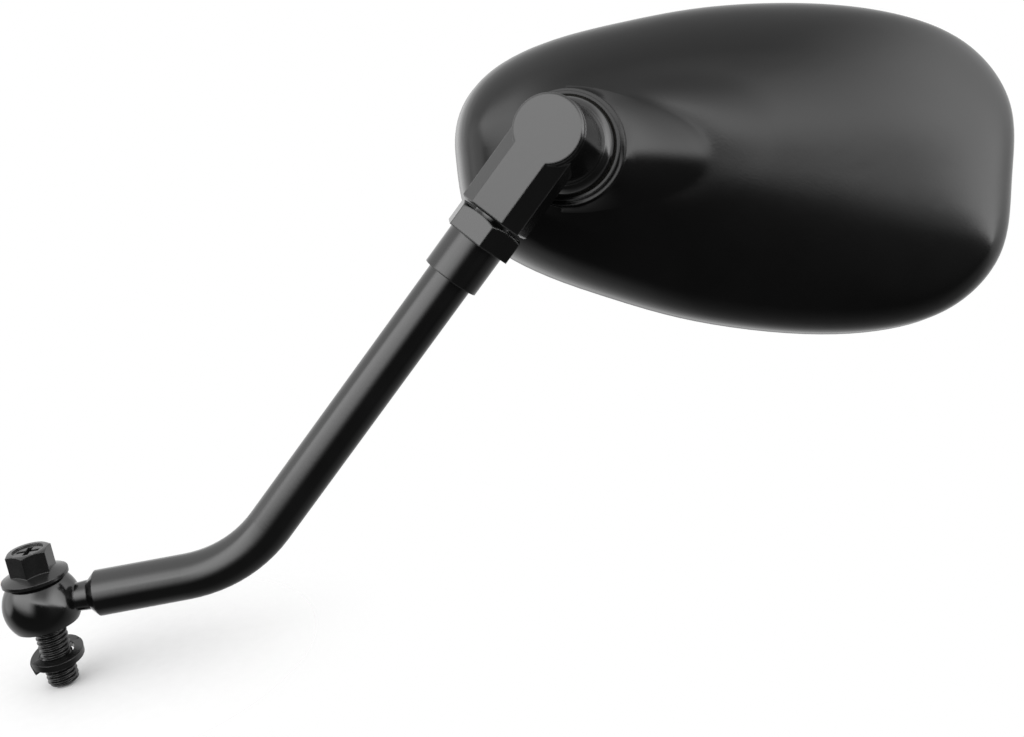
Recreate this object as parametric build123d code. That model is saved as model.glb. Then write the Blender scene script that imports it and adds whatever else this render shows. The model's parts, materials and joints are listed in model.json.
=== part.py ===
from build123d import *
from math import atan, cos, degrees, radians, sin, sqrt, tan
import os

# Mounting bolt: hexagon flange bolt with a cross recess
bolt_radius = 4.0
bolt_length = 30.0
bolt_lead_radius = 3.75
bolt_lead_length = 5.2
bolt_end_chamfer = 0.9
bolt_hex_flats = 10.0
bolt_hex_turn = 0.0
bolt_head_height = 8.0
bolt_flange_radius = 8.3
bolt_flange_edge = 1.0
bolt_flange_cone = 1.3
bolt_dish_radius = 3.9
bolt_dish_depth = 0.4
recess_width = 1.5
recess_reach = 2.9
recess_depth = 3.0
recess_taper = 8.0
hex_chamfer_angle = 30.0

# Split spring washer, hanging askew on the bolt's thread
washer_inner_radius = 4.6
washer_outer_radius = 6.9
washer_thickness = 1.9
washer_split_rise = 1.0
washer_split_gap = 1.1
washer_split_slant = 20.0
washer_split_angle = 220.0
washer_tilt = 13.0
washer_drop = 9.5

# Stem: a bent round rod with a flattened ball at its foot and a thread at its head
rod_radius = 6.0
ball_radius = 9.8
ball_height = 12.5
ball_lift = 0.8
bolt_hole_radius = 4.2
seat_gap = 0.1
neck_ball_radius = 3.1
neck_rod_radius = 3.9
neck_length = 12.4
rod_end_chamfer = 2.1
foot_length = 51.4
bend_angle = 44.5
bend_radius = 34.0
reach_length = 137.5
stem_thread_radius = 5.0
stem_thread_chamfer = 0.8
stem_thread_tip = 8.5
thread_clearance = 0.06

# Lock nut: a hexagon with a round skirt that hides the thread
nut_flats = 17.0
nut_turn = 9.0
nut_hex_height = 6.4
nut_skirt_radius = 7.5
nut_skirt_length = 11.2
nut_web = 1.2
nut_gap = 0.8
skirt_clearance = 0.2

# Knuckle: a square elbow with a round boss that flares down to a ball face
knuckle_roll = -22.5
disc_radius = 8.8
disc_top = 8.8
disc_rim = 0.45
disc_side = 2.2
cone_top_radius = 9.0
cone_base_radius = 10.8
brim_radius = 12.7
brim_height = 3.4
brim_bulge = 0.45
block_width = 17.2
block_chamfer = 4.0
block_length = 25.0
block_end_chamfer = 0.4
blind_hole_floor = 1.5
joint_play = 0.2

# Ball joint: spherical faces about one centre, pressed together by disc springs
collar_drop = 17.0
pivot_rise = 7.2
ball_face_radius = 13.9
seat_thickness = 1.0
socket_wall = 2.2
liner_thickness = 1.0
liner_outer_radius = 9.8
cup_radius = 8.6
cup_web = 2.3
cup_shoulder_radius = 7.5
pivot_bolt_radius = 3.0
pivot_bolt_length = 25.0
pivot_bolt_flats = 10.0
pivot_bolt_head = 4.0
spring_count = 2
spring_radius = 7.4
spring_thickness = 0.8
spring_cone = 0.45
thrust_washer_radius = 6.2
thrust_washer_thickness = 1.0
shank_clearance = 0.2
tilt_range = 10.0

# Head: a moulded shell, symmetric about its long axis, with a collar near its inner end
head_spin = -55.3
head_pan = 1.6
head_nod = 2.0
collar_tilt = 16.0
collar_height = 30.0
head_inner_reach = 27.8
head_length = 163.4
head_half_height = 47.2
# Rim outline from the inner end to the outer: shares of the length and of the half height
rim_profile = ((0.06, 0.518), (0.19, 0.728), (0.38, 0.91), (0.63, 1.0), (0.85, 0.892), (0.97, 0.6))
shell_height = 27.0
shell_roundness = 4.0
hollow_roundness = 5.0
shell_levels = (0, 0.3, 0.5, 0.65, 0.78, 0.88, 0.95, 0.985, 0.999)
shell_draft = 0.05
shell_crest = 30.0
shell_wall = 2.4
collar_bead_radius = 14.2
collar_bead_height = 2.6
collar_groove_radius = 13.6
collar_groove_height = 0.8
collar_radius = 15.3
collar_foot_radius = 16.0
collar_foot_drop = 13.0
collar_well_radius = 13.8
fairing_length = 52.0
fairing_width = 20.0
fairing_depth = 6.5
fairing_flare = 1.6
fairing_steps = (0, 0.35, 0.7, 1)
fairing_top_radius = 14.8
fairing_top_drop = 1.5

# Mirror glass: a bent sheet bedded on a ring of foam tape
glass_curve_radius = 1400.0
glass_thickness = 2.0
glass_recess = 0.5
glass_clearance = 0.25
tape_thickness = 1.0
tape_gap = 0.05
lip_width = 2.4
ledge_width = 3.6


# Places worked out from the sizes above

# The origin is on the mounting bolt's axis, at the middle of its plain lead
foot_level = bolt_length - seat_gap - ball_height - (bolt_lead_length + bolt_end_chamfer) / 2
ball_centre = Vector(0, 0, foot_level + ball_height / 2 - ball_lift)
reach_dir = Vector(cos(radians(bend_angle)), 0, sin(radians(bend_angle)))
bend_vertex = ball_centre + Vector(foot_length, 0, 0)
knuckle_centre = bend_vertex + reach_dir * reach_length
boss_dir = Vector(0, -1, 0).rotate(Axis((0, 0, 0), reach_dir), knuckle_roll)
arm_place = Plane(origin=knuckle_centre, x_dir=boss_dir, z_dir=-reach_dir).location
knuckle_place = Plane(origin=knuckle_centre, x_dir=reach_dir, z_dir=boss_dir).location

pivot_height = pivot_rise - collar_drop
seat_inner = ball_face_radius + joint_play
socket_inner = seat_inner + seat_thickness
socket_outer = socket_inner + socket_wall
liner_inner = socket_outer + joint_play
cup_face_radius = liner_inner + liner_thickness + joint_play
cup_back = pivot_height - cup_face_radius - cup_web
spring_height = spring_thickness + spring_cone
washer_top = cup_back - spring_count * spring_height
bolt_seat = washer_top - thrust_washer_thickness
shank_hole_radius = pivot_bolt_radius + shank_clearance
rest_tilt = sqrt(head_pan**2 + head_nod**2)
corner_tilt = radians(tilt_range * sqrt(2) + rest_tilt)
socket_hole_radius = pivot_bolt_radius + socket_outer * sin(corner_tilt) + shank_clearance
liner_tilt = radians(tilt_range + rest_tilt)
liner_hole_radius = pivot_bolt_radius + cup_face_radius * sin(liner_tilt) + shank_clearance

nut_top = block_length + nut_gap
nut_skirt_top = nut_top + nut_hex_height
nut_end = nut_skirt_top + nut_skirt_length
nut_shoulder = nut_skirt_top + nut_web + skirt_clearance

collar_place = (
    knuckle_place
    * Pos(0, 0, pivot_height)
    * Rot(0, 0, head_spin)
    * Rot(0, head_pan, 0)
    * Rot(head_nod, 0, 0)
)
collar_ring_drop = pivot_rise + collar_bead_height
pivot_in_head = Pos(0, 0, collar_height) * Rot(0, -collar_tilt, 0) * Pos(0, 0, collar_ring_drop)
head_place = collar_place * pivot_in_head.inverse()


def turned(points):
    """A solid of revolution about Z from a closed outline of (radius, height) points."""
    return revolve(Plane.XZ * make_face(Polyline(*points, close=True)), Axis.Z)


def hex_bar(flats, low, high, chamfer_low, chamfer_high):
    """An upright hexagon bar whose corners are turned off at the chosen ends."""
    flat = flats / 2
    corner = flat / cos(radians(30))
    drop = (corner - flat) * tan(radians(hex_chamfer_angle))
    bar = extrude(Pos(0, 0, low) * RegularPolygon(flat, 6, major_radius=False, rotation=30), high - low)
    low_flat, low_drop = (flat, drop) if chamfer_low else (corner, 0)
    high_flat, high_drop = (flat, drop) if chamfer_high else (corner, 0)
    reach = 1 + drop / (corner - flat)
    outline = [(0, low), (low_flat, low), (corner + drop, low + low_drop * reach)]
    outline += [(corner + drop, high - high_drop * reach), (high_flat, high), (0, high)]
    return bar & turned(outline)


def zone(inner, outer, hole, rim):
    """A ring cut from a spherical shell about the origin, on its lower side, between two radii."""
    def low(radius, reach):
        return (reach, -sqrt(radius**2 - reach**2))

    def arc(radius, start, end):
        middle = (start + end) / 2
        return ThreePointArc(low(radius, start), low(radius, middle), low(radius, end))

    edges = [arc(inner, hole, rim), Line(low(inner, rim), low(outer, rim))]
    edges += [arc(outer, rim, hole), Line(low(outer, hole), low(inner, hole))]
    return revolve(Plane.XZ * make_face(edges), Axis.Z)


def mounting_bolt():
    seat = foot_level + ball_height + seat_gap
    tip = seat - bolt_length
    top = seat + bolt_head_height
    lead_top = tip + bolt_lead_length
    flange_edge = seat + bolt_flange_edge
    flange_top = flange_edge + bolt_flange_cone
    shank = [(0, tip), (bolt_lead_radius - bolt_end_chamfer, tip)]
    shank += [(bolt_lead_radius, tip + bolt_end_chamfer), (bolt_lead_radius, lead_top)]
    shank += [(bolt_radius, lead_top + bolt_radius - bolt_lead_radius), (bolt_radius, seat)]
    flange = [(bolt_flange_radius, seat), (bolt_flange_radius, flange_edge)]
    flange += [(bolt_hex_flats / 2, flange_top), (0, flange_top)]
    dish = Pos(0, 0, top - bolt_dish_depth / 2) * Cylinder(bolt_dish_radius, bolt_dish_depth)
    cross = Rectangle(2 * recess_reach, recess_width) + Rectangle(recess_width, 2 * recess_reach)
    recess = extrude(Pos(0, 0, top) * cross, recess_depth, dir=(0, 0, -1), taper=recess_taper)
    head = Rot(0, 0, bolt_hex_turn) * (hex_bar(bolt_hex_flats, seat, top, False, True) - dish - recess)
    return turned(shank + flange) + head


def spring_washer():
    mean = (washer_inner_radius + washer_outer_radius) / 2
    width = washer_outer_radius - washer_inner_radius
    ring = Cylinder(washer_outer_radius, washer_thickness) - Cylinder(washer_inner_radius, washer_thickness)
    lean = degrees(atan(washer_split_rise / (2 * mean)))
    helix = Part()
    for side in (1, -1):
        half_space = Pos(0, side * washer_outer_radius, 0) * Box(
            4 * washer_outer_radius, 2 * washer_outer_radius, 4 * washer_thickness
        )
        helix += Pos(-mean, 0, 0) * Rot(0, -side * lean, 0) * Pos(mean, 0, 0) * (ring & half_space)
    cutter = Box(2 * width, washer_split_gap, 6 * washer_thickness)
    slot = Pos(mean, 0, 0) * Rot(washer_split_slant, 0, 0) * cutter
    place = Pos(0, 0, foot_level - washer_drop) * Rot(washer_tilt, 0, 0) * Rot(0, 0, washer_split_angle)
    return place * (helix - slot)


def stem():
    ball = Sphere(ball_radius) & Pos(0, 0, ball_lift) * Box(4 * ball_radius, 4 * ball_radius, ball_height)
    rod_start = neck_length + rod_end_chamfer
    neck = [(0, 0), (0, neck_ball_radius), (neck_length, neck_rod_radius), (rod_start, rod_radius)]
    neck += [(rod_start + rod_radius, rod_radius), (rod_start + rod_radius, 0)]
    foot = ball + revolve(Plane.XZ * make_face(Polyline(*neck, close=True)), Axis.X)
    foot -= Cylinder(bolt_hole_radius, 4 * ball_height)
    shoulder = reach_length - nut_shoulder
    path = FilletPolyline(
        ball_centre + Vector(rod_start, 0, 0),
        bend_vertex,
        bend_vertex + reach_dir * shoulder,
        radius=bend_radius,
    )
    rod = sweep(Plane(origin=path @ 0, z_dir=path % 0) * Circle(rod_radius), path)
    thread = [(0, stem_thread_tip), (stem_thread_radius - stem_thread_chamfer, stem_thread_tip)]
    thread += [(stem_thread_radius, stem_thread_tip + stem_thread_chamfer)]
    thread += [(stem_thread_radius, nut_shoulder), (0, nut_shoulder)]
    return Pos(ball_centre) * foot + rod + arm_place * turned(thread)


def lock_nut():
    hexagon = Rot(0, 0, nut_turn) * hex_bar(nut_flats, nut_top, nut_skirt_top, True, False)
    skirt = Pos(0, 0, (nut_skirt_top + nut_end) / 2) * Cylinder(nut_skirt_radius, nut_skirt_length)
    bore_radius = stem_thread_radius + thread_clearance
    counterbore = rod_radius + skirt_clearance
    bore = [(0, nut_top), (bore_radius, nut_top), (bore_radius, nut_skirt_top + nut_web)]
    bore += [(counterbore, nut_skirt_top + nut_web), (counterbore, nut_end), (0, nut_end)]
    return arm_place * (hexagon + skirt - turned(bore))


def knuckle():
    ball_edge = pivot_height - sqrt(ball_face_radius**2 - brim_radius**2)
    ball_foot = pivot_height - ball_face_radius
    cone_top = disc_top - disc_side
    cone_base = ball_edge + brim_height
    half_ball = brim_radius / 2
    half_foot = pivot_height - sqrt(ball_face_radius**2 - half_ball**2)
    brim_middle = (
        (cone_base_radius + brim_radius) / 2 + brim_bulge,
        (cone_base + ball_edge) / 2 + brim_bulge,
    )
    disc = Polyline(
        (0, ball_foot),
        (0, disc_top),
        (disc_radius - disc_rim, disc_top),
        (disc_radius, disc_top - disc_rim),
        (disc_radius, cone_top),
        (cone_top_radius, cone_top),
        (cone_base_radius, cone_base),
    )
    brim = ThreePointArc((cone_base_radius, cone_base), brim_middle, (brim_radius, ball_edge))
    ball = ThreePointArc((brim_radius, ball_edge), (half_ball, half_foot), (0, ball_foot))
    boss = revolve(Plane.XZ * make_face([*disc.edges(), brim, ball]), Axis.Z)
    section = Rectangle(block_width, 2 * disc_top)
    section = chamfer(section.vertices(), block_chamfer)
    block = extrude(Plane.YZ * section, -block_length)
    block = chamfer(block.faces().sort_by(Axis.X)[0].edges(), block_end_chamfer)
    hole_length = block_length - stem_thread_tip + blind_hole_floor
    thread_hole = Pos(-block_length + hole_length / 2, 0, 0) * Rot(0, 90, 0) * Cylinder(
        stem_thread_radius + thread_clearance, hole_length
    )
    bolt_tip = bolt_seat + pivot_bolt_length + blind_hole_floor
    bolt_hole = Pos(0, 0, (ball_foot + bolt_tip) / 2) * Cylinder(
        pivot_bolt_radius + thread_clearance, bolt_tip - ball_foot
    )
    return knuckle_place * (boss + block - thread_hole - bolt_hole)


def pivot_bolt():
    head = hex_bar(pivot_bolt_flats, bolt_seat - pivot_bolt_head, bolt_seat, True, False)
    shank = Pos(0, 0, bolt_seat + pivot_bolt_length / 2) * Cylinder(pivot_bolt_radius, pivot_bolt_length)
    return knuckle_place * (head + shank)


def disc_spring(index):
    top = cup_back - index * spring_height
    inner_top, outer_top = (top - spring_cone, top) if index % 2 == 0 else (top, top - spring_cone)
    outline = [(shank_hole_radius, inner_top), (spring_radius, outer_top)]
    outline += [(spring_radius, outer_top - spring_thickness)]
    outline += [(shank_hole_radius, inner_top - spring_thickness)]
    return knuckle_place * turned(outline)


def thrust_washer():
    middle = washer_top - thrust_washer_thickness / 2
    ring = Cylinder(thrust_washer_radius, thrust_washer_thickness)
    return knuckle_place * Pos(0, 0, middle) * (ring - Cylinder(shank_hole_radius, thrust_washer_thickness))


def pressure_cup():
    rim = pivot_height - sqrt(cup_face_radius**2 - cup_radius**2)
    outline = [(shank_hole_radius, rim), (cup_radius, rim), (cup_radius, rim - cup_web)]
    outline += [(cup_shoulder_radius, cup_back), (shank_hole_radius, cup_back)]
    return knuckle_place * (turned(outline) - Pos(0, 0, pivot_height) * Sphere(cup_face_radius))


def friction_washer():
    liner_outer = liner_inner + liner_thickness
    return collar_place * zone(liner_inner, liner_outer, liner_hole_radius, liner_outer_radius)


def ball_seat():
    rim = sqrt(seat_inner**2 - pivot_rise**2) - joint_play
    return collar_place * zone(seat_inner, socket_inner, socket_hole_radius, rim)


inner_end = (-head_inner_reach, 0)
outer_end = (head_length - head_inner_reach, 0)
upper_edge = [(head_length * x - head_inner_reach, head_half_height * y) for x, y in rim_profile]
lower_edge = [(x, -y) for x, y in reversed(upper_edge)]
rim_line = Spline(inner_end, *upper_edge, outer_end, *lower_edge, periodic=True)


def outline(inset):
    """The head's outline as a face on the rim plane, drawn in all round by the inset."""
    steps = 20
    points = []
    for step in range(steps):
        place = rim_line @ (step / steps)
        run = rim_line % (step / steps)
        points.append(place + Vector(run.Y, -run.X) * inset)
    return make_face(Spline(*points, periodic=True))


def dome(inset, height, roundness):
    """The shell's rounded back: outlines that shrink towards the crest as they rise."""
    rim = Pos(-shell_crest, 0, 0) * outline(inset)
    sections = []
    for level in shell_levels:
        shrink = sqrt(1 - level**roundness) * (1 - shell_draft * level)
        sections.append(Pos(shell_crest, 0, level * height) * scale(rim, by=shrink))
    return loft(sections)


def fairing(wall):
    """A soft swelling that carries the shell's back up to the collar on its long side."""
    foot = collar_height - fairing_top_drop - fairing_depth - wall
    sections = []
    for step in fairing_steps:
        flare = (1 - step) ** fairing_flare
        length = fairing_top_radius + (fairing_length - fairing_top_radius) * flare - wall
        width = fairing_top_radius + (fairing_width - fairing_top_radius) * flare - wall
        place = Pos(0, 0, foot + fairing_depth * step) * Rot(0, -collar_tilt * step, 0)
        sections.append(place * Ellipse(length, width))
    keep = Pos(fairing_length + wall, 0, foot) * Box(2 * fairing_length, 4 * fairing_width, 2 * foot)
    return loft(sections) & keep


def prism(inset, low, high):
    return extrude(Pos(0, 0, low) * outline(inset), high - low)


def mirror_ball(depth):
    """A ball whose surface is the mirror's curve, set back from the rim by a depth."""
    middle = Pos(head_length / 2 - head_inner_reach, 0, glass_curve_radius)
    return middle * Sphere(glass_curve_radius - depth)


def collar():
    low = -collar_foot_drop
    points = [(0, low), (collar_foot_radius, low), (collar_radius, 0), (collar_groove_radius, 0)]
    points += [(collar_groove_radius, collar_groove_height), (collar_bead_radius, collar_groove_height)]
    points += [(collar_bead_radius, collar_bead_height), (0, collar_bead_height)]
    return turned(points)


def mirror_shell():
    ring_place = Pos(0, 0, collar_height) * Rot(0, -collar_tilt, 0)
    tube = ring_place * collar()
    body = dome(0, shell_height, shell_roundness) + fairing(0) + tube
    mouth_place = ring_place * Pos(0, 0, collar_bead_height + collar_radius)
    mouth = mouth_place * Cylinder(2 * collar_radius, 2 * collar_radius)
    socket = pivot_in_head * Sphere(socket_outer)
    inside = dome(lip_width + ledge_width, shell_height - shell_wall, hollow_roundness)
    well = [(0, 0), (collar_well_radius, -collar_well_radius)]
    well += [(collar_well_radius, -shell_height), (0, -shell_height)]
    hole = pivot_in_head * Pos(0, 0, -socket_outer) * Cylinder(socket_hole_radius, 2 * socket_outer)
    bed = glass_recess + glass_thickness + tape_thickness + tape_gap
    pocket = prism(lip_width, -shell_wall, shell_height / 2) - mirror_ball(bed)
    body -= mouth + pivot_in_head * Sphere(socket_inner)
    for hollow in (inside, fairing(shell_wall)):
        body -= hollow - tube
    body -= pivot_in_head * turned(well) - socket
    return head_place * (body - hole - pocket)


def glass_tape():
    back = glass_recess + glass_thickness
    edge = lip_width + glass_clearance
    ring = prism(edge, 0, shell_height / 2) - prism(lip_width + ledge_width, 0, shell_height / 2)
    return head_place * ((ring & mirror_ball(back)) - mirror_ball(back + tape_thickness))


def mirror_glass():
    sheet = prism(lip_width + glass_clearance, 0, shell_height / 2)
    return head_place * ((sheet & mirror_ball(glass_recess)) - mirror_ball(glass_recess + glass_thickness))


parts = {
    "mounting_bolt": mounting_bolt(),
    "spring_washer": spring_washer(),
    "stem": stem(),
    "lock_nut": lock_nut(),
    "knuckle": knuckle(),
    "pivot_bolt": pivot_bolt(),
    "thrust_washer": thrust_washer(),
    "pressure_cup": pressure_cup(),
    "friction_washer": friction_washer(),
    "ball_seat": ball_seat(),
    "mirror_shell": mirror_shell(),
    "glass_tape": glass_tape(),
    "mirror_glass": mirror_glass(),
}
for number in range(spring_count):
    parts[f"disc_spring_{number + 1}"] = disc_spring(number)

os.makedirs("parts", exist_ok=True)
for name, solid in parts.items():
    export_step(solid, f"parts/{name}.step")
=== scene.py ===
import json
import math

import bpy
from mathutils import Matrix, Vector

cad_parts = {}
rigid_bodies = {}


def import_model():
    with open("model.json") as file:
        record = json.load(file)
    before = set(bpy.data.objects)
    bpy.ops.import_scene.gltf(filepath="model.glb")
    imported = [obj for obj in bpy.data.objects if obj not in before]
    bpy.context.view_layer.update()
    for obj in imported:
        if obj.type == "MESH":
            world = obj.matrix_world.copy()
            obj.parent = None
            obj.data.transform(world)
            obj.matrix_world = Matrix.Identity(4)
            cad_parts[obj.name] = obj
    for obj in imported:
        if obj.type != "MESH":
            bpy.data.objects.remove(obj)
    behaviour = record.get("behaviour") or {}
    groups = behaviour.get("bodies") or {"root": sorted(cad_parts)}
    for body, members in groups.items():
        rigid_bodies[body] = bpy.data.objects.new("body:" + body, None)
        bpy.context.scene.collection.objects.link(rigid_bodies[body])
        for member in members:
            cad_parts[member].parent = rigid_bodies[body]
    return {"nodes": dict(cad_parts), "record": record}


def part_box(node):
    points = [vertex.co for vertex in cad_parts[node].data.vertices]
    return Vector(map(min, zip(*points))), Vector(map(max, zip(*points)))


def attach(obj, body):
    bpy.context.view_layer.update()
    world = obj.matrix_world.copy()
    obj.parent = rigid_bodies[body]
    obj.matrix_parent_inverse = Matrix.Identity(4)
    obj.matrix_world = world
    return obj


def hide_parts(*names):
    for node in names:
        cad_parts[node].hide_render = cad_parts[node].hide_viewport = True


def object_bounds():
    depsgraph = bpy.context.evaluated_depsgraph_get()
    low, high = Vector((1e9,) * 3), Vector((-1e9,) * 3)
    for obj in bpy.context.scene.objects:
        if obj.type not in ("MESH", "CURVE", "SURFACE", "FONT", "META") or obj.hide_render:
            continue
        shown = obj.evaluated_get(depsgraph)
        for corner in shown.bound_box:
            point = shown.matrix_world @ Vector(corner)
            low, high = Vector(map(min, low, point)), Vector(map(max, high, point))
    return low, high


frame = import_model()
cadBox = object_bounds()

scene = bpy.context.scene
nodes = frame["nodes"]
print("frame loaded:", len(nodes), "nodes")


class Wire:  # one output of a shader node, which can be used in sums
    def __init__(self, tree, socket=None):
        self.tree = tree
        self.socket = socket

    def node(self, kind, settings=None, inputs=None, out=0):
        made = self.tree.nodes.new("ShaderNode" + kind)
        for name, value in (settings or {}).items():
            if name == "stops":
                ramp = made.color_ramp
                for place, _ in value[1:-1]:
                    ramp.elements.new(place)
                for element, (place, colour) in zip(ramp.elements, value):
                    element.position = place
                    element.color = colour
            else:
                setattr(made, name, value)
        for name, value in (inputs or {}).items():
            if isinstance(value, Wire):
                self.tree.links.new(value.socket, made.inputs[name])
            else:
                made.inputs[name].default_value = value
        return Wire(self.tree, made.outputs[out] if made.outputs else None)

    def rise(self, start, end):  # from 0 at start to 1 at end
        return self.node("MapRange", {"interpolation_type": "SMOOTHSTEP"}, {
            "Value": self, "From Min": start, "From Max": end, "To Min": 0.0, "To Max": 1.0})

    def sum(self, operation, first, second):
        return self.node("Math", {"operation": operation}, {0: first, 1: second})

    def __add__(self, other):
        return self.sum("ADD", self, other)

    __radd__ = __add__

    def __sub__(self, other):
        return self.sum("SUBTRACT", self, other)

    def __rsub__(self, other):
        return self.sum("SUBTRACT", other, self)

    def __mul__(self, other):
        return self.sum("MULTIPLY", self, other)

    __rmul__ = __mul__


def grey(level, warm=0.0):
    return (level * (1 + warm), level, level * (1 - warm), 1)


def newMaterial(name):
    material = bpy.data.materials.new(name)
    material.use_nodes = True
    material.node_tree.nodes.clear()
    return material, Wire(material.node_tree)


def closeMaterial(wire, shader):
    wire.node("OutputMaterial", None, {"Surface": shader})


# every finish: a base colour that drifts a little, a roughness that drifts, a fine relief and eased edges
texture = {
    "cloudDetail": 4.0, "cloudRough": 0.6, "grainDetail": 3.0, "grainRough": 0.5,
    "darkFrom": 0.3, "lightFrom": 0.7, "edge": 0.0001, "edgeSamples": 6, "meltSamples": 8,
}
mixFactor, mixFirst, mixSecond, mixResult = 0, 4, 5, 1  # sockets of a Mix node on vectors


def surface(name, look):
    material, w = newMaterial(name)
    place = w.node("TexCoord", None, None, "Object")
    cloud = w.node("TexNoise", None, {
        "Vector": place, "Scale": look["cloudScale"],
        "Detail": texture["cloudDetail"], "Roughness": texture["cloudRough"]})
    grain = w.node("TexNoise", None, {
        "Vector": place, "Scale": look["grainScale"],
        "Detail": texture["grainDetail"], "Roughness": texture["grainRough"]})
    colour = w.node("ValToRGB", {"stops": [
        (texture["darkFrom"], look["dark"]), (texture["lightFrom"], look["light"])]}, {"Fac": cloud})
    rough = look["roughness"] + (cloud - 0.5) * look["roughDrift"] + (grain - 0.5) * look["roughGrain"]
    edge = w.node("Bevel", {"samples": texture["edgeSamples"]}, {
        "Radius": look.get("edge", texture["edge"])})
    if "melt" in look:  # a crease that runs out softly
        melt = look["melt"]
        soft = w.node("Bevel", {"samples": texture["meltSamples"]}, {"Radius": melt["width"]})
        away = w.node("VectorMath", {"operation": "DISTANCE"}, {0: place, 1: melt["centre"]}, "Value")
        near = 1 - away.rise(melt["full"], melt["none"])
        edge = w.node("Mix", {"data_type": "VECTOR"}, {
            mixFactor: near, mixFirst: edge, mixSecond: soft}, mixResult)
    relief = w.node("Bump", None, {
        "Height": grain, "Strength": look["relief"], "Distance": look["reliefDepth"], "Normal": edge})
    shader = w.node("BsdfPrincipled", None, {
        "Base Color": colour, "Roughness": rough, "Normal": relief,
        "Metallic": look.get("metal", 0.0), "Specular IOR Level": look.get("specular", 0.5)})
    closeMaterial(w, shader)
    return material


finishes = {
    "stem_black": {  # gloss paint
        "dark": grey(0.003), "light": grey(0.005), "cloudScale": 60.0, "grainScale": 900.0,
        "roughness": 0.14, "roughDrift": 0.05, "roughGrain": 0.03, "relief": 0.05, "reliefDepth": 0.0002,
        "specular": 0.95, "edge": 0.0006,
    },
    "bolt_black": {  # black plating
        "dark": grey(0.004), "light": grey(0.009), "cloudScale": 220.0, "grainScale": 2600.0,
        "roughness": 0.2, "roughDrift": 0.1, "roughGrain": 0.08, "relief": 0.1, "reliefDepth": 0.0001,
        "specular": 0.8, "edge": 0.0003,
    },
    "shell_black": {  # satin moulding, with the end of the fairing running out into it
        "dark": grey(0.003), "light": grey(0.0045), "cloudScale": 40.0, "grainScale": 1800.0,
        "roughness": 0.14, "roughDrift": 0.03, "roughGrain": 0.04, "relief": 0.06, "reliefDepth": 0.0001,
        "edge": 0.0004,
        "melt": {"centre": (0.19, 0.021, 0.107), "full": 0.017, "none": 0.025, "width": 0.005},
    },
    "joint_steel": {  # zinc plating
        "dark": grey(0.5, 0.02), "light": grey(0.62, 0.01), "cloudScale": 160.0, "grainScale": 2000.0,
        "roughness": 0.32, "roughDrift": 0.15, "roughGrain": 0.1, "relief": 0.08, "reliefDepth": 0.0001,
        "metal": 1.0,
    },
    "seat_plastic": {  # natural nylon
        "dark": (0.62, 0.59, 0.52, 1), "light": (0.74, 0.72, 0.66, 1), "cloudScale": 120.0,
        "grainScale": 1500.0, "roughness": 0.45, "roughDrift": 0.1, "roughGrain": 0.05, "relief": 0.06,
        "reliefDepth": 0.0001,
    },
    "tape_foam": {  # closed-cell foam
        "dark": grey(0.02), "light": grey(0.045), "cloudScale": 500.0, "grainScale": 2200.0,
        "roughness": 0.9, "roughDrift": 0.05, "roughGrain": 0.05, "relief": 0.5, "reliefDepth": 0.0004,
    },
    "mirror_silver": {  # silvered glass
        "dark": (0.84, 0.86, 0.86, 1), "light": (0.9, 0.91, 0.91, 1), "cloudScale": 30.0,
        "grainScale": 400.0, "roughness": 0.02, "roughDrift": 0.01, "roughGrain": 0.005, "relief": 0.0,
        "reliefDepth": 0.0001, "metal": 1.0,
    },
}
materials = {slot: surface(slot + "_finish", look) for slot, look in finishes.items()}
for row in frame["record"]["subparts"]:
    node = nodes[row["node"]]
    node.data.materials.clear()
    node.data.materials.append(materials[row["material_slot"]])
print("finishes on", len(nodes), "nodes")


mergeDistance = 0.000001


def pick(obj):  # the one selected object, and the active one
    bpy.ops.object.select_all(action="DESELECT")
    obj.select_set(True)
    bpy.context.view_layer.objects.active = obj


def applyPlace(obj):
    pick(obj)
    bpy.ops.object.transform_apply(location=True, rotation=True, scale=True)


def roundBar(sides, radius, bottom, top):  # an upright bar on the bolt's axis
    bpy.ops.object.select_all(action="DESELECT")
    bpy.ops.mesh.primitive_cylinder_add(
        vertices=sides, radius=radius, depth=top - bottom, location=(0, 0, (top + bottom) / 2))
    bar = bpy.context.object
    applyPlace(bar)
    return bar


def combine(obj, tool, operation):  # cuts or joins with a second object, which is used up
    pick(obj)
    cut = obj.modifiers.new("combine", "BOOLEAN")
    cut.operation = operation
    cut.solver = "EXACT"
    cut.object = tool
    bpy.ops.object.modifier_apply(modifier=cut.name)
    bpy.data.objects.remove(tool)


def selectVerts(obj, wanted):  # in edit mode, the vertices that pass the test
    bpy.ops.mesh.select_all(action="DESELECT")
    bpy.ops.object.mode_set(mode="OBJECT")
    for vertex in obj.data.vertices:
        vertex.select = wanted(vertex.co)
    bpy.ops.object.mode_set(mode="EDIT")


def copyOfNode(node, name):  # a merged copy of a node, left in edit mode with all of it selected
    pick(nodes[node])
    bpy.ops.object.duplicate()
    copy = bpy.context.object
    copy.name = name
    bpy.ops.object.parent_clear(type="CLEAR_KEEP_TRANSFORM")
    for key in list(copy.keys()):
        del copy[key]
    bpy.ops.object.mode_set(mode="EDIT")
    bpy.ops.mesh.customdata_custom_splitnormals_clear()
    bpy.ops.mesh.select_all(action="SELECT")
    bpy.ops.mesh.remove_doubles(threshold=mergeDistance)
    return copy


def dress(piece, node, body, slot, smoothTo):  # smooth shading, finish, and what it stands for
    pick(piece)
    bpy.ops.object.shade_smooth_by_angle(angle=math.radians(smoothTo))
    piece.data.materials.clear()
    piece.data.materials.append(materials[slot])
    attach(piece, body)
    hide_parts(node)


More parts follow.
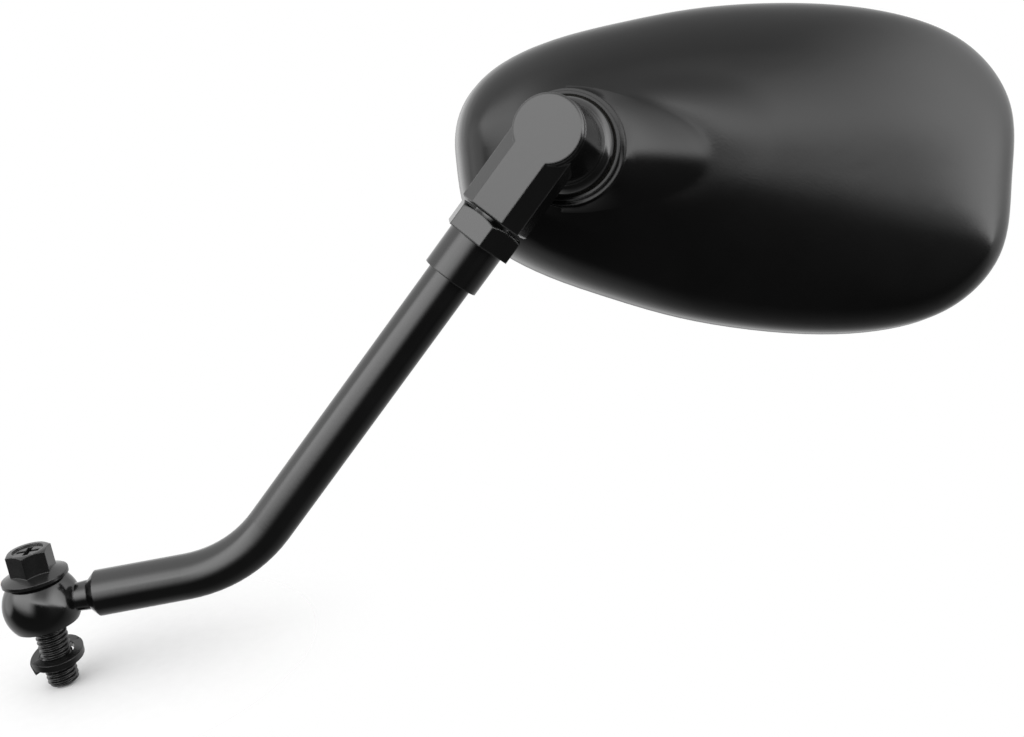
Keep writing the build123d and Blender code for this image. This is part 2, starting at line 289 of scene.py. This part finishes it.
# mounting bolt: the head as it is, with a real thread below it
bolt = {
    "crest": 0.004, "root": 0.0033, "buried": 0.0031, "pitch": 0.00125, "crestWidth": 0.0002,
    "rootWidth": 0.00112, "steps": 48, "chamfer": 0.0009, "joinLevel": 0.0205, "overlap": 0.0005,
    "spareTurns": 3, "leadTurns": 1.5, "barSpare": 2, "sides": 64, "skin": 0.00002, "smoothTo": 32,
}
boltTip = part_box("mounting_bolt")[0][2]
threadTop = bolt["joinLevel"] + bolt["overlap"]
threadTurns = math.ceil((threadTop - boltTip) / bolt["pitch"])
start = boltTip - bolt["leadTurns"] * bolt["pitch"]
bpy.ops.object.select_all(action="DESELECT")
bpy.ops.mesh.primitive_plane_add(
    size=1.0, location=((bolt["crest"] + bolt["buried"]) / 2, 0, start), rotation=(math.pi / 2, 0, 0))
ridge = bpy.context.object
ridge.scale = (bolt["crest"] - bolt["buried"], bolt["rootWidth"], 1)
applyPlace(ridge)
bpy.ops.object.mode_set(mode="EDIT")
bpy.ops.mesh.select_mode(type="VERT")
selectVerts(ridge, lambda co: co.x > bolt["root"])
bpy.ops.transform.resize(
    value=(1, 1, bolt["crestWidth"] / bolt["rootWidth"]), center_override=(bolt["crest"], 0, start))
bpy.ops.mesh.select_all(action="SELECT")
bpy.ops.mesh.delete(type="ONLY_FACE")
bpy.ops.object.mode_set(mode="OBJECT")
winding = ridge.modifiers.new("winding", "SCREW")
winding.axis = "Z"
winding.angle = 2 * math.pi
winding.screw_offset = bolt["pitch"]
winding.iterations = threadTurns + bolt["spareTurns"]
winding.steps = bolt["steps"]
winding.render_steps = bolt["steps"]
bpy.ops.object.modifier_apply(modifier=winding.name)
bpy.ops.object.mode_set(mode="EDIT")
bpy.ops.mesh.select_all(action="SELECT")
bpy.ops.mesh.fill_holes(sides=4)  # the two ends of the ridge
bpy.ops.mesh.select_all(action="SELECT")
bpy.ops.mesh.normals_make_consistent(inside=False)
bpy.ops.object.mode_set(mode="OBJECT")

barSpare = bolt["barSpare"] * bolt["pitch"]
thread = roundBar(bolt["sides"], bolt["root"], boltTip - barSpare, threadTop + barSpare)
combine(thread, ridge, "UNION")

envelope = roundBar(bolt["sides"], bolt["crest"] - bolt["skin"], boltTip, threadTop)
bpy.ops.object.mode_set(mode="EDIT")
selectVerts(envelope, lambda co: co.z < boltTip + bolt["chamfer"])
bpy.ops.mesh.select_mode(type="EDGE")
bpy.ops.mesh.bevel(offset=bolt["chamfer"], segments=1, affect="EDGES")
bpy.ops.object.mode_set(mode="OBJECT")
combine(thread, envelope, "INTERSECT")

threadedBolt = copyOfNode("mounting_bolt", "threadedBolt")
bpy.ops.mesh.bisect(
    plane_co=(0, 0, bolt["joinLevel"]), plane_no=(0, 0, 1), clear_inner=True, use_fill=True)
bpy.ops.object.mode_set(mode="OBJECT")
combine(threadedBolt, thread, "UNION")
dress(threadedBolt, "mounting_bolt", "mount", "bolt_black", bolt["smoothTo"])
print("threaded bolt:", len(threadedBolt.data.polygons), "faces,", threadTurns, "turns")

# mirror sheet: the bent glass with a ground edge all round
glass = {"groundEdge": 0.00035, "edgeSteps": 2, "sharpFrom": 40, "smoothTo": 12}
mirrorSheet = copyOfNode("mirror_glass", "mirrorSheet")
bpy.ops.object.mode_set(mode="OBJECT")
ground = mirrorSheet.modifiers.new("groundEdge", "BEVEL")
ground.width = glass["groundEdge"]
ground.segments = glass["edgeSteps"]
ground.limit_method = "ANGLE"
ground.angle_limit = math.radians(glass["sharpFrom"])
bpy.ops.object.modifier_apply(modifier=ground.name)
dress(mirrorSheet, "mirror_glass", "head", "mirror_silver", glass["smoothTo"])
print("mirror sheet:", len(mirrorSheet.data.polygons), "faces")


# camera, as the photograph was taken
view = {
    "place": (0.1128, -0.2968, 0.13975),
    "looks": (0.056, 0.964, -0.26),
    "up": (0.175, 0.246, 0.953),
    "lens": 42.19,
    "sensor": 36.0,
    "nearest": 0.01,
}
forward = Vector(view["looks"]).normalized()
sideways = forward.cross(Vector(view["up"])).normalized()
upward = sideways.cross(forward)
bpy.ops.object.camera_add(location=view["place"])
camera = bpy.context.object
camera.name = "photoCamera"
turn = Matrix((sideways, upward, -forward)).transposed()
camera.rotation_euler = turn.to_euler()
camera.data.lens = view["lens"]
camera.data.sensor_width = view["sensor"]
camera.data.clip_start = view["nearest"]
scene.camera = camera


# surroundings: a wide soft light above the front that reaches lower at the left, a dim room below it
# each band gives degrees above the middle of the front, and the light that comes from there
# the edges are where one band goes over into the next, from -1 at the left to 1 at the right
room = {
    "gain": 3.2, "lean": 0.168,
    "left": (
        (-180, 0.95), (-100, 0.45), (-78, 0.05), (-36, 0.03), (-26, 0.5), (-12, 1.8), (2, 2.4), (18, 2.7),
        (34, 2.4), (48, 1.5), (62, 1.1), (130, 0.95), (180, 0.95)),
    "middle": (
        (-180, 0.6), (-135, 0.25), (-75, 0.05), (5, 0.02), (8, 0.6), (10, 2.8), (14, 2.6), (20, 1.6),
        (30, 0.95), (42, 0.7), (80, 0.85), (180, 0.6)),
    "right": (
        (-180, 0.6), (-135, 0.2), (-70, 0.03), (1, 0.1), (10, 0.8), (17, 2.7), (23, 3.0), (42, 2.8),
        (68, 2.2), (96, 1.6), (136, 1.0), (180, 0.6)),
    "leftEdge": (-0.4, 0.1), "rightEdge": (0.38, 0.8),
    "endEdge": (-0.985, -0.9), "endGlow": 1.3,  # the far left end, where all heights meet
}
world = bpy.data.worlds.new("studio")
scene.world = world
world.use_nodes = True
world.node_tree.nodes.clear()
w = Wire(world.node_tree)
direction = w.node("TexCoord", None, None, "Generated")


def along(axis):
    return w.node("VectorMath", {"operation": "DOT_PRODUCT"}, {0: direction, 1: tuple(axis)}, "Value")


height = along(upward + sideways * room["lean"])
angle = w.sum("ARCTAN2", height, along(-forward)) * (0.5 / math.pi) + 0.5
across = along(sideways)


def band(side):
    stops = [(0.5 + degrees / 360, grey(light / room["gain"])) for degrees, light in room[side]]
    return w.node("ValToRGB", {"stops": stops}, {"Fac": angle}) * room["gain"]


pastEnd = across.rise(*room["endEdge"])
pastLeft = across.rise(*room["leftEdge"])
pastMiddle = across.rise(*room["rightEdge"])
leftGlow = band("left") * pastEnd + (1 - pastEnd) * room["endGlow"]
rightGlow = band("middle") * (1 - pastMiddle) + band("right") * pastMiddle
glow = leftGlow * (1 - pastLeft) + rightGlow * pastLeft
seen = w.node("LightPath", None, None, "Is Camera Ray")
back = w.node("Background", None, {"Color": grey(1), "Strength": glow * (1 - seen) + seen})
w.node("OutputWorld", None, {"Surface": back})


# floor: a pale disc that fades out, seen only by the camera, so that it keeps the shadow
floorLook = {
    "radius": 0.13, "fadeFrom": 0.01, "fadeTo": 0.075, "level": 0.88, "drop": 0.0004,
    "centre": (0.014, 0.004), "sides": 96, "speckScale": 300.0, "speckDetail": 3.0, "speckDepth": 0.01,
}
bpy.ops.object.select_all(action="DESELECT")
bpy.ops.mesh.primitive_circle_add(
    vertices=floorLook["sides"], radius=floorLook["radius"], fill_type="NGON",
    location=(*floorLook["centre"], cadBox[0][2] - floorLook["drop"]))
floor = bpy.context.object
floor.name = "floor"
material, w = newMaterial("paleFloor")
place = w.node("TexCoord", None, None, "Object")
reach = w.node("VectorMath", {"operation": "LENGTH"}, {0: place}, "Value")
speck = w.node("TexNoise", None, {
    "Vector": place, "Scale": floorLook["speckScale"], "Detail": floorLook["speckDetail"]})
fade = 1 - reach.rise(floorLook["fadeFrom"], floorLook["fadeTo"])
seen = w.node("LightPath", None, None, "Is Camera Ray")
paper = w.node("ValToRGB", {"stops": [
    (texture["darkFrom"], grey(floorLook["level"] - floorLook["speckDepth"])),
    (texture["lightFrom"], grey(floorLook["level"] + floorLook["speckDepth"]))]}, {"Fac": speck})
matt = w.node("BsdfDiffuse", None, {"Color": paper})
clear = w.node("BsdfTransparent")
closeMaterial(w, w.node("MixShader", None, {0: fade * seen, 1: clear, 2: matt}))
floor.data.materials.append(material)

scene.view_settings.view_transform = "Standard"
print("camera, surroundings and floor in place")
